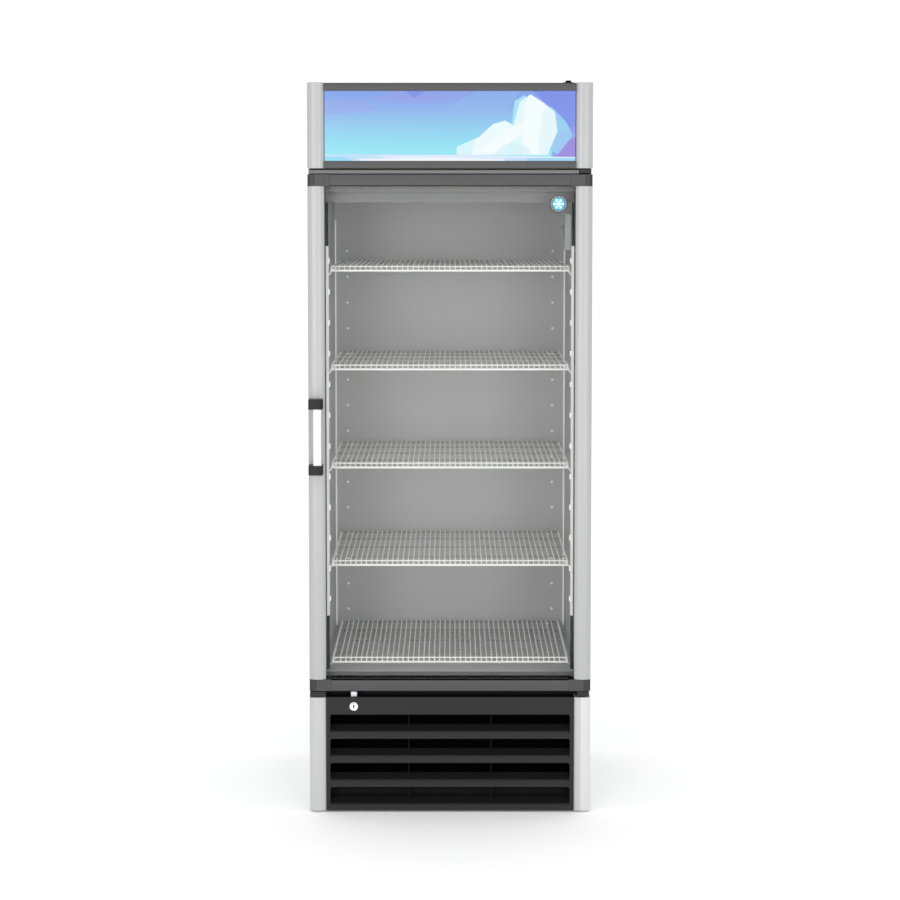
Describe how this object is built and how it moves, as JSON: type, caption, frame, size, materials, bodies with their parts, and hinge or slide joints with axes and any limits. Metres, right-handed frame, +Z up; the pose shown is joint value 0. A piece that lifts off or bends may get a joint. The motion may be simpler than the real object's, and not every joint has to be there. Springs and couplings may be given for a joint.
{
  "type": "glass door merchandiser",
  "caption": "Upright refrigerated display cabinet with a lit header sign, a hinged full-height glass door, wire shelves and a slotted base grille.",
  "frame": {"origin": "floor level under the middle of the overall box", "axes": "+Z up, +X to the viewer's right, the door faces -Y"},
  "size_m": [0.762, 0.746, 1.983],
  "materials": {
    "shell_silver": "satin silver paint",
    "liner_white": "smooth white liner",
    "foam": "rigid foam",
    "dark_plastic": "matt dark plastic",
    "dark_metal": "dark painted steel",
    "black_plastic": "matt black plastic",
    "rail_grey": "satin dark grey",
    "sign_print": "translucent printed acrylic",
    "lamp_white": "white lamp cover",
    "trim_silver": "satin silver",
    "grille_black": "fine textured black",
    "lock_chrome": "polished",
    "hinge_black": "black paint",
    "door_glass": "clear glass with a faint grey tint",
    "gasket_rubber": "soft black seal",
    "decal": "printed film",
    "grip_silver": "bright silver",
    "wire_white": "white epoxy coating",
    "clip_metal": "plated steel",
    "control_grey": "light grey plastic",
    "coil_aluminium": "plain fins",
    "fan_white": "moulded plastic",
    "compressor_black": "gloss black paint",
    "copper": "copper tube"
  },
  "bodies": {
    "cabinet": {"outer_shell": "shell_silver", "back_panel": "shell_silver", "inner_liner": "liner_white", "foam_insulation": "foam", "breaker_frame": "dark_plastic", "base_frame": "dark_metal", "levelling_feet": "black_plastic", "header_housing": "dark_metal", "header_frame": "rail_grey", "sign_panel": "sign_print", "header_lamp": "lamp_white", "header_trim_left": "trim_silver", "header_trim_right": "trim_silver", "fascia_strip": "rail_grey", "cable_grommet": "black_plastic", "base_trim_left": "trim_silver", "base_trim_right": "trim_silver", "front_grille": "grille_black", "hinge_top": "hinge_black", "hinge_bottom": "hinge_black", "hinge_blank": "black_plastic", "front_pilasters": "wire_white", "rear_supports": "wire_white", "shelf_clips": "clip_metal", "shelf_1": "wire_white", "shelf_2": "wire_white", "shelf_3": "wire_white", "shelf_4": "wire_white", "shelf_5": "wire_white", "interior_lamp": "lamp_white", "thermostat_housing": "control_grey", "evaporator_cover": "liner_white", "evaporator_coil": "coil_aluminium", "evaporator_fan_motor": "dark_metal", "compressor": "compressor_black", "condenser_coil": "compressor_black", "condenser_fan_motor": "dark_metal", "condensate_pan": "dark_plastic", "control_box": "control_grey", "refrigerant_lines": "copper", "power_inlet": "black_plastic"},
    "door": {"stile_left": "trim_silver", "stile_right": "trim_silver", "rail_top": "rail_grey", "rail_bottom": "rail_grey", "corner_caps": "rail_grey", "outer_glass": "door_glass", "inner_glass": "door_glass", "glass_spacer": "dark_plastic", "door_gasket": "gasket_rubber", "door_closer": "dark_metal", "glass_decal": "decal", "handle_grip": "grip_silver", "handle_brackets": "black_plastic"},
    "lock_cylinder": {"lock_cylinder": "lock_chrome"},
    "lock_bolt": {"lock_bolt": "lock_chrome"},
    "light_switch": {"light_switch": "black_plastic"},
    "thermostat_knob": {"thermostat_knob": "black_plastic"},
    "evaporator_fan": {"evaporator_fan_blade": "fan_white"},
    "condenser_fan": {"condenser_fan_blade": "fan_white"}
  },
  "joints": [
    {"name": "door_swing", "type": "hinge", "parent": "cabinet", "child": "door", "pos_m": [0.361, -0.309, 1.032], "axis": [0, 0, 1], "range_deg": [0, 120], "stiffness_Nm_per_rad": 1.2, "springref_deg": -11.46},
    {"name": "lock_turn", "type": "hinge", "parent": "cabinet", "child": "lock_cylinder", "pos_m": [-0.261, -0.325, 0.292], "axis": [0, 1, 0], "range_deg": [0, 90]},
    {"name": "bolt_slide", "type": "slide", "parent": "cabinet", "child": "lock_bolt", "axis": [0, 0, 1], "range_m": [0, 0.012]},
    {"name": "light_switch_rock", "type": "hinge", "parent": "cabinet", "child": "light_switch", "pos_m": [0.258, -0.253, 1.686], "axis": [0, 1, 0], "range_deg": [-8, 8]},
    {"name": "thermostat_turn", "type": "hinge", "parent": "cabinet", "child": "thermostat_knob", "pos_m": [0.323, 0.029, 1.5725], "axis": [1, 0, 0], "range_deg": [-135, 135]},
    {"name": "evaporator_fan_spin", "type": "hinge", "parent": "cabinet", "child": "evaporator_fan", "pos_m": [0, -0.125, 1.675], "axis": [0, 0, 1], "continuous": true},
    {"name": "condenser_fan_spin", "type": "hinge", "parent": "cabinet", "child": "condenser_fan", "pos_m": [-0.13, -0.1, 0.142], "axis": [0, 1, 0], "continuous": true}
  ],
  "couplings": [
    {"joint": "lock_turn", "follows": "bolt_slide", "rad_per_m": 130.9}
  ]
}
